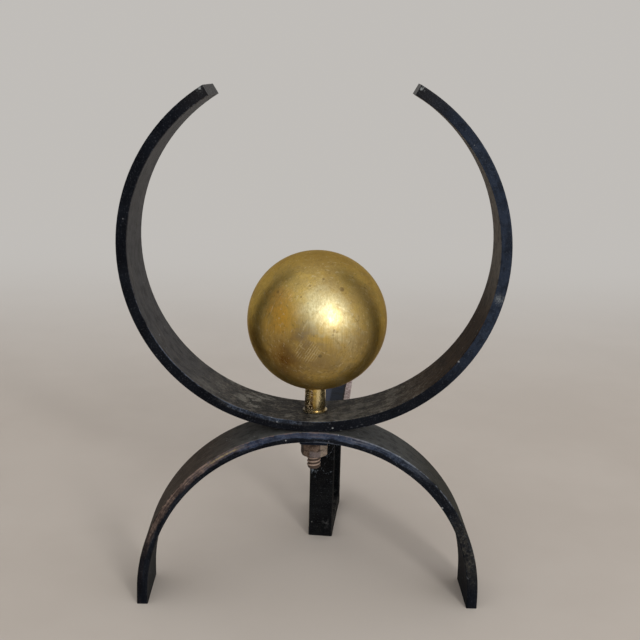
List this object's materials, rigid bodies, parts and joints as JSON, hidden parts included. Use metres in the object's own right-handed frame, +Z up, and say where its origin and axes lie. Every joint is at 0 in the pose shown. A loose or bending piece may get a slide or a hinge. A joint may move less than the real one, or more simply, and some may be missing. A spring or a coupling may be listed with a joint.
{
  "type": "andiron",
  "caption": "Andiron: a crescent of flat iron bar holds a hollow brass ball over an arch of the same bar, with a short log bar on a U-shaped leg behind.",
  "frame": {"origin": "floor level under the middle of the whole part's box", "axes": "+X to the right seen from the front, +Y to the back along the log bar, +Z up"},
  "size_m": [0.2176, 0.1844, 0.301],
  "materials": {
    "black_iron": "black stove enamel, semi-gloss, rubbed thin and bluish at the edges",
    "log_iron": "black enamel burnt dull, with rust along the sides",
    "weld_iron": "painted weld bead",
    "aged_brass": "satin, unlacquered and tarnished",
    "stem_brass": "pitted and tarnished",
    "rusty_steel": "rust brown with worn grey faces"
  },
  "bodies": {
    "root": {"crescent": "black_iron", "arch": "black_iron", "log_bar": "log_iron", "rear_leg": "black_iron", "front_limb_welds": "weld_iron", "rear_limb_welds": "weld_iron", "ball_upper_shell": "aged_brass", "ball_lower_shell": "aged_brass", "ball_bush": "aged_brass", "stem_sleeve": "stem_brass", "stem_ring": "stem_brass", "stud": "rusty_steel", "hex_nut": "rusty_steel"}
  },
  "joints": []
}
